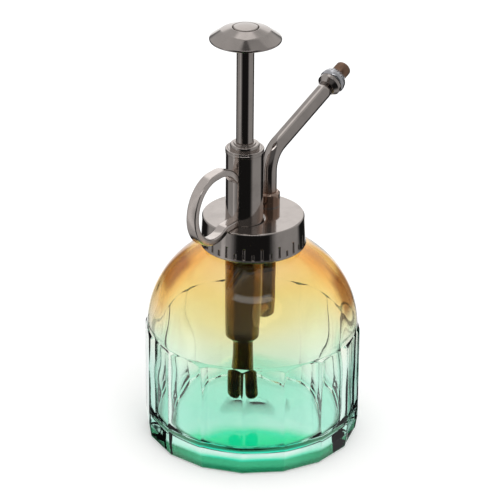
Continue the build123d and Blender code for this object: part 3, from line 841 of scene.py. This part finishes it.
def build_rod():
    """Rod with a thinner end in the piston and in the knob, and the collar under the knob."""
    start, end = levels("plunger_rod")
    radius = outer_radius("plunger_rod")
    piston_top = levels("piston")[1]
    foot = levels("thumb_knob")[0]
    add_turned(
        "rod_bar", "plunger_rod", 64,
        [(0, start), (2.0, start), (2.0, piston_top), (radius, piston_top), (radius, foot),
         (2.5, foot), (2.5, end), (0, end)],
        [0.2, 0, 0.3, 0.1, 0, 0.2],
        body="plunger",
    )
    foot, top = levels("rod_collar")
    outer = outer_radius("rod_collar")
    hole = radius + 0.05
    add_turned(
        "collar_ring", "rod_collar", 64,
        [(hole, foot), (radius + 0.3, foot), (outer, foot + 0.85), (outer, top),
         (hole, top), (hole, foot)],
        [0.1, 0.3, 0.1, 0],
        body="plunger",
    )


def build_knob():
    """Knob with a sloping skirt and a hollow underside, and the lid let into its top."""
    foot = levels("thumb_knob")[0]
    rim = foot + 1.7
    inner = outer_radius("thumb_knob") - 0.6
    hub = 5.2
    # underside: a curve from the hub over a middle point to the rim
    share = np.linspace(0, 1, 12)[:, None]
    belly = (
        (1 - share) ** 2 * np.array([hub, foot])
        + 2 * share * (1 - share) * np.array([(hub + inner) / 2, rim + 2.9])
        + share**2 * np.array([inner, rim - 0.6])
    )
    face = rounded(
        [(inner, rim + 0.6), (9.5, foot + 5.0), (5.0, foot + 6.5), (5.0, foot + 5.4),
         (0, foot + 5.4)],
        [2.4, 0.3, 0.15], shoulder=0.3, step=3.0,
    )
    bead = arc((inner, rim), 0.6, -60, 55, 9)
    profile = np.concatenate([[(0, foot), (hub - 0.1, foot)], belly, bead, face[1:]])
    grid = spin(upright("thumb_knob"), profile, around(128))
    add_piece("knob_cap", grid, ["thumb_knob"], body="plunger")
    seat, top = levels("knob_disc")
    outer = outer_radius("knob_disc")
    share = np.linspace(1, 0, 12)
    lid = np.stack([outer * share * 0.985, top - 0.6 * share**2], 1)
    side = [(0, seat), (outer - 0.05, seat), (outer, seat + 0.1), (outer, top - 0.75)]
    profile = np.concatenate([side, lid])
    grid = spin(upright("knob_disc"), profile, around(96))
    add_piece("knob_lid", grid, ["knob_disc"], body="plunger")


class MISTER_OT_head(bpy.types.Operator):
    """Build the plated cap, barrel, gland, plunger and knob"""

    bl_idname = "mister.head"
    bl_label = "Cap and pump"

    def execute(self, context):
        build_cap(context.scene.mister_head)
        build_barrel()
        build_rod()
        build_knob()
        return {"FINISHED"}


def build_ring(sizes):
    """A level run on the plate, a bow round the finger, and a tail down to the barrel."""
    axis_x = upright("pump_barrel").origin[0]
    plate = levels("pump_barrel")[0]
    low, high = box_mm("finger_ring")
    middle = sizes.ring - sizes.band / 2
    sway = middle + sizes.ring_bend
    centre = np.array([low[0] + sizes.ring, high[2] - sizes.ring])
    foot = plate + sizes.band / 2
    # the level run on the plate bends down over the edge by as much as the bow asks
    dip = degrees(acos(1 - (foot - (centre[1] - middle)) / sway))
    turn_x = centre[0] + sway * sin(radians(dip))
    start = axis_x - 6.75
    line = np.stack([np.linspace(start, turn_x, 12), np.full(12, foot)], 1)
    past = arc((turn_x, foot - sizes.ring_bend), sizes.ring_bend, 90, 90 + dip, 8)
    bow = arc(centre, middle, -90 + dip, -270, 72)
    close = arc(centre + np.array([sizes.ring_stretch, 0]), middle, 90, 45, 20)
    slope = np.array([sin(radians(45)), -cos(radians(45))])
    reach = (start - close[-1][0]) / slope[0]
    tail = close[-1] + np.linspace(0, reach, 8)[:, None] * slope
    path = np.concatenate([line, past[1:], bow[1:], close, tail[1:]])
    edge = 0.6
    wide, thick = (high[1] - low[1]) / 2 - edge, sizes.band / 2 - edge
    corners = [(wide, thick), (-wide, thick), (-wide, -thick), (wide, -thick)]
    section = np.concatenate([
        arc(corner, edge, 90 * index, 90 * index + 90, 7)
        for index, corner in enumerate(corners)
    ])
    add_piece("finger_band", sweep_flat(path, section), ["finger_ring"], "brushed_nickel")


class MISTER_OT_ring(bpy.types.Operator):
    """Build the finger ring"""

    bl_idname = "mister.ring"
    bl_label = "Finger ring"

    def execute(self, context):
        build_ring(context.scene.mister_head)
        return {"FINISHED"}


def build_tube(bend, place, riser_x):
    """Round bar that rises from the boss, bends, and runs straight to the nozzle."""
    low, high = box_mm("spout_tube")
    run = (place.origin[0] - riser_x) / place.along[0]
    bend_z = place.origin[2] - run * place.along[2]
    turn = acos(place.along[2])
    centre = np.array([riser_x + bend, bend_z - bend * tan(turn / 2)])
    rise = np.stack([np.full(10, riser_x), np.linspace(low[2], centre[1], 10)], 1)
    curve = arc(centre, bend, 180, 180 - degrees(turn), 34)
    end = (place.origin - place.along * 3.2)[[0, 2]]
    straight = curve[-1] + np.linspace(0, 1, 12)[:, None] * (end - curve[-1])
    path = np.concatenate([rise[:-1], curve, straight[1:]])
    section = arc((0, 0), (high[1] - low[1]) / 2, 0, 360, 65)[:-1]
    add_piece("spout_pipe", sweep_flat(path, section), ["spout_tube"])


def build_spout(bend):
    """Boss on the plate, bent tube, and the ferrule at its end."""
    foot, top = levels("spout_boss")
    outer = outer_radius("spout_boss")
    add_turned(
        "boss_collar", "spout_boss", 72,
        [(2.9, foot), (outer, foot), (outer, top - 0.7), (outer - 0.7, top),
         (3.2, top), (2.9, top - 0.5), (2.9, foot)],
        [0.1, 0.25, 0.2, 0.05, 0],
    )
    place = spray()
    build_tube(bend, place, upright("spout_boss").origin[0])
    add_turned(
        "spout_ferrule", "spout_collar", 72,
        [(1.2, -6.2), (2.35, -6.2), (2.35, -3.2), (3.4, -3.2), (4.8, -1.5), (4.8, 0.0),
         (2.6, 0.0), (2.6, 2.3), (1.2, 2.3), (1.2, -6.2)],
        [0.1, 0, 0.3, 0.5, 0.2, 0, 0.1, 0],
        place=place,
    )


class MISTER_OT_spout(bpy.types.Operator):
    """Build the spout with its boss and ferrule"""

    bl_idname = "mister.spout"
    bl_label = "Spout"

    def execute(self, context):
        build_spout(context.scene.mister_head.bend)
        return {"FINISHED"}


def build_nozzle(teeth):
    """Toothed ring with a sloping front, and the tip in its mouth."""
    place = spray()
    # the sloping front runs from the ring's widest part to its face
    wide, face = np.array([4.85, 3.1]), np.array([3.6, 4.9])
    profile = rounded(
        [(2.66, 0.05), (4.85, 0.05), (5.2, 0.75), (5.2, 1.8), wide, face, (3.2, 4.9),
         (3.2, 2.6), (2.66, 2.6), (2.66, 0.05)],
        [0.3, 0.8, 0.8, 0.3, 0.15, 0.05, 0, 0],
    )
    bevel = wide + np.linspace(0.06, 0.94, 10)[:, None] * (face - wide)
    first = np.argmax(profile[:, 1] > 3.15)
    last = first + np.argmax(profile[first:, 1] > 4.82)
    profile = np.concatenate([profile[:first], bevel, profile[last:]])
    pitch = TURN / teeth
    share = np.array([-0.5, -0.3, -0.2, -0.16, -0.1, 0.0, 0.1, 0.16, 0.2, 0.3])
    angles = ((np.arange(teeth)[:, None] + share[None, :]) * pitch).ravel()

    def toothed(radius, height, angle):
        """Grooves of half a millimetre down the sloping front, between the teeth."""
        away = np.abs(np.mod(angle / pitch + 0.5, 1) - 0.5)
        groove = np.clip((0.2 - away) / 0.05, 0, 1)
        on_bevel = np.clip((height - 2.9) / 0.3, 0, 1) * (radius > 3.3)
        return radius - 0.45 * groove * on_bevel * np.clip((radius - 3.3) / 0.5, 0, 1)

    add_piece("nozzle_nut", spin(place, profile, angles, toothed),
              ["nozzle_ring"], "bright_nickel", "nozzle")
    add_turned(
        "nozzle_tip_bronze", "nozzle_tip", 72,
        [(1.9, 2.6), (3.15, 2.6), (3.15, 10.2), (1.4, 10.2), (0.35, 9.85), (0.35, 8.7),
         (1.9, 8.7), (1.9, 2.6)],
        [0, 1.1, 0.3, 0.1, 0, 0],
        "brown_bronze", "nozzle", "tip_bronze", place, step=8.0,
    )


class MISTER_OT_nozzle(bpy.types.Operator):
    """Build the nozzle and its tip"""

    bl_idname = "mister.nozzle"
    bl_label = "Nozzle"

    def execute(self, context):
        build_nozzle(context.scene.mister_head.teeth)
        return {"FINISHED"}


def build_cylinder(shoulder):
    """Cylinder under the barrel, and the inlet tube under it."""
    foot, top = levels("pump_cylinder")
    outer = outer_radius("pump_cylinder")
    add_turned(
        "cylinder_tube", "pump_cylinder", 96,
        [(2.55, foot), (outer - 2.0, foot), (outer, foot + 2.0), (outer, shoulder),
         (6.5, shoulder), (6.5, top), (5.6, top), (5.6, foot + 4.0),
         (2.55, foot + 4.0), (2.55, foot)],
        [0.5, 1.2, 0.2, 0, 0.1, 0.1, 0.2, 0],
        "shaded_stained_nickel", slot="pump_body",
    )
    foot, top = levels("inlet_tube")
    outer = outer_radius("inlet_tube")
    add_turned(
        "inlet_pipe", "inlet_tube", 72,
        [(2.55, foot), (outer - 0.8, foot), (outer, foot + 0.8), (outer, top),
         (2.55, top), (2.55, foot)],
        [0.3, 1.0, 0.3, 0],
        "shaded_stained_nickel", slot="pump_body",
    )


def build_duct(shoulder):
    """Side tube under the spout."""
    foot, top = levels("outlet_duct")
    floor = foot + 5.8
    add_turned(
        "duct_pipe", "outlet_duct", 64,
        [(0, foot), (3.1, foot), (3.1, shoulder), (2.85, shoulder), (2.85, top), (2.2, top),
         (2.2, floor), (0, floor)],
        [1.6, 0.1, 0, 0.1, 0.1, 0],
        "shaded_stained_nickel", slot="pump_body", place=upright("outlet_seat"), step=8.0,
    )


def build_arm():
    """Short arm that joins the side tube to the cylinder."""
    arm = Axis((0, 0, levels("outlet_duct")[0] + 4.4), (1, 0, 0), (0, 1, 0))
    start = upright("pump_cylinder").origin[0] + 6.6
    end = upright("outlet_seat").origin[0] - 1.5
    profile = rounded([(0, start), (2.4, start), (2.4, end), (0, end)], [0.1, 0.1])
    grid = spin(arm, profile, around(48))
    add_piece("duct_arm", grid, finish="shaded_stained_nickel")


def build_spring(cylinder):
    """A round wire on a helix (r cos t, r sin t, h t)."""
    foot, top = levels("return_spring")
    wire, radius, turns = 0.42, 4.5, 12
    height = top - foot - 2 * wire
    angle = np.linspace(0, turns * TURN, turns * 30 + 1)
    rise = np.full(len(angle), height / (turns * TURN))
    outward = np.stack([np.cos(angle), np.sin(angle), 0 * angle], 1)
    ahead = np.stack([-radius * np.sin(angle), radius * np.cos(angle), rise], 1)
    ahead /= np.linalg.norm(ahead, axis=1)[:, None]
    upward = np.cross(outward, ahead)
    centre = cylinder.origin + radius * outward
    centre[:, 2] = foot + wire + rise * angle
    turn = around(10)[None, :, None]
    ring = np.cos(turn) * outward[:, None] + np.sin(turn) * upward[:, None]
    grid = close_bar(centre[:, None] + wire * ring)
    piece = add_piece("spring_wire", grid, ["return_spring"], "bright_steel")
    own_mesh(piece)


class MISTER_OT_inside(bpy.types.Operator):
    """Build what shows through the glass: cylinder, side duct, inlet tube and spring"""

    bl_idname = "mister.inside"
    bl_label = "Inside"

    def execute(self, context):
        shoulder = levels("head_gasket")[0]
        build_cylinder(shoulder)
        build_duct(shoulder)
        build_spring(upright("pump_cylinder"))
        build_arm()
        return {"FINISHED"}


class MISTER_OT_finishes(bpy.types.Operator):
    """Make the metals and the rubber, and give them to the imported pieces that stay"""

    bl_idname = "mister.finishes"
    bl_label = "Finishes"

    def execute(self, context):
        colours = context.scene.mister_colours
        plate = levels("screw_cap")[1]
        # the finger ring is brushed and a little brighter than what stands beside it
        make_plating("brushed_nickel", [c * 1.45 for c in colours.plating], rough=0.16)
        made = {
            # the dark nickel carries a painted warm reflection just above the plate
            "gunmetal": make_plating("dark_nickel", colours.plating, painted_warm_height=plate),
            # pieces inside the bottle: painted shade darkens and browns the plating, with strong random stains
            "pump_body": make_plating("shaded_stained_nickel", colours.inside, rough=0.12, darker=0.45),
            "nozzle_metal": make_plating("bright_nickel", colours.nozzle, rough=0.16),
            "tip_bronze": make_plating("brown_bronze", colours.tip, rough=0.38, darker=0.7),
            "bush_brass": make_plating("turned_brass", (0.62, 0.42, 0.16), rough=0.2),
            "steel": make_plating("bright_steel", (0.56, 0.56, 0.57), rough=0.12),
            "rubber": make_rubber(),
        }
        slots = {item["node"]: item["material_slot"] for item in frame["record"]["subparts"]}
        for node, piece in frame["nodes"].items():
            material = made.get(slots[node])
            if material:
                for holder in piece.material_slots:
                    holder.material = material
        return {"FINISHED"}


def build_floor(context):
    """A wide disc under the bottle; mirrored and refracted rays pass it to the studio."""
    rings = np.array([(3000, 0), (300, 0), (0, 0)], dtype=float)
    mesh = grid_mesh("floor", spin(Axis((0, 0, 0)), rings, around(96)))
    floor = add_object("floor", mesh)
    material, nodes = new_material("white_floor")
    white = context.scene.mister_colours.backdrop
    pale = nodes.add("ShaderNodeBsdfPrincipled", inputs={
        "Base Color": (*(c * 0.88 for c in white), 1.0),
        "Roughness": 1.0,
        "Specular IOR Level": 0.0,
        "Emission Color": (*white, 1.0),
        "Emission Strength": 0.22,
    })
    clear = nodes.add("ShaderNodeBsdfTransparent")
    glossy, through = nodes.outputs(
        nodes.add("ShaderNodeLightPath"), "Is Glossy Ray", "Is Transmission Ray"
    )
    mixed = {0: glossy.at_least(through), 1: pale, 2: clear}
    nodes.surface(nodes.add("ShaderNodeMixShader", inputs=mixed))
    mesh.materials.append(material)


def build_lamp(place):
    """One soft lamp, aimed at the middle of the mister."""
    data = bpy.data.lights.new("key_lamp", "AREA")
    data.shape = "DISK"
    data.size = 0.7
    data.energy = 2.0
    lamp = add_object("key_lamp", data)
    lamp.location = place
    lamp.rotation_euler = (Vector((0, 0, 0.09)) - place).to_track_quat("-Z", "Y").to_euler()
    lamp.visible_glossy = False


def build_camera(context):
    """A long lens at the height of a raised hand, looking down a little at the cap."""
    target = Vector((0, 0, levels("screw_cap")[1]))
    back = Vector((
        sin(VIEW_AZIMUTH) * cos(VIEW_ELEVATION),
        -cos(VIEW_AZIMUTH) * cos(VIEW_ELEVATION),
        sin(VIEW_ELEVATION),
    ))
    right = Vector((cos(VIEW_AZIMUTH), sin(VIEW_AZIMUTH), 0))
    aim = target - back.cross(right) * 14.1 - right * 1.16
    location = target + back * VIEW_DISTANCE
    data = bpy.data.cameras.new("camera")
    data.sensor_width = SENSOR
    data.lens = SENSOR * VIEW_DISTANCE / VIEW_SPAN
    camera = add_object("camera", data)
    camera.location = location * META
    level = (aim - location).to_track_quat("-Z", "Y")
    camera.rotation_euler = (level @ Quaternion((0, 0, 1), VIEW_ROLL)).to_euler()
    context.scene.camera = camera


class MISTER_OT_stage(bpy.types.Operator):
    """Build the floor, the lamp, the studio's light and the camera"""

    bl_idname = "mister.stage"
    bl_label = "Stage"

    def execute(self, context):
        context.scene.view_settings.view_transform = "Standard"
        world_light()
        build_floor(context)
        build_lamp(Vector((-0.45, -0.75, 0.9)))
        build_camera(context)
        return {"FINISHED"}


class MISTER_PT_panel(bpy.types.Panel):
    """Lists the pieces of the mister and their sizes"""

    bl_idname = "MISTER_PT_panel"
    bl_label = "Plant Mister"
    bl_space_type = "VIEW_3D"
    bl_region_type = "UI"
    bl_category = "Mister"

    def draw(self, context):
        for operator in OPERATORS:
            self.layout.operator(operator.bl_idname)
        for name, group in GROUPS.items():
            column = self.layout.column()
            for key in group.__annotations__:
                column.prop(getattr(context.scene, name), key)


OPERATORS = (
    MISTER_OT_finishes,
    MISTER_OT_bottle,
    MISTER_OT_head,
    MISTER_OT_ring,
    MISTER_OT_spout,
    MISTER_OT_nozzle,
    MISTER_OT_inside,
    MISTER_OT_stage,
)
GROUPS = {
    "mister_bottle": BottleSizes,
    "mister_head": HeadSizes,
    "mister_colours": FinishColours,
}


def register():
    """Register the classes and give the scene its groups of sizes."""
    for kind in (*GROUPS.values(), *OPERATORS, MISTER_PT_panel):
        bpy.utils.register_class(kind)
    for name, group in GROUPS.items():
        setattr(bpy.types.Scene, name, bpy.props.PointerProperty(type=group))


def unregister():
    """Undo register."""
    for name in GROUPS:
        delattr(bpy.types.Scene, name)
    for kind in reversed((*GROUPS.values(), *OPERATORS, MISTER_PT_panel)):
        bpy.utils.unregister_class(kind)


def main():
    """Build everything in order."""
    register()
    for operator in OPERATORS:
        group, name = operator.bl_idname.split(".")
        getattr(getattr(bpy.ops, group), name)()


if __name__ == "__main__":
    main()
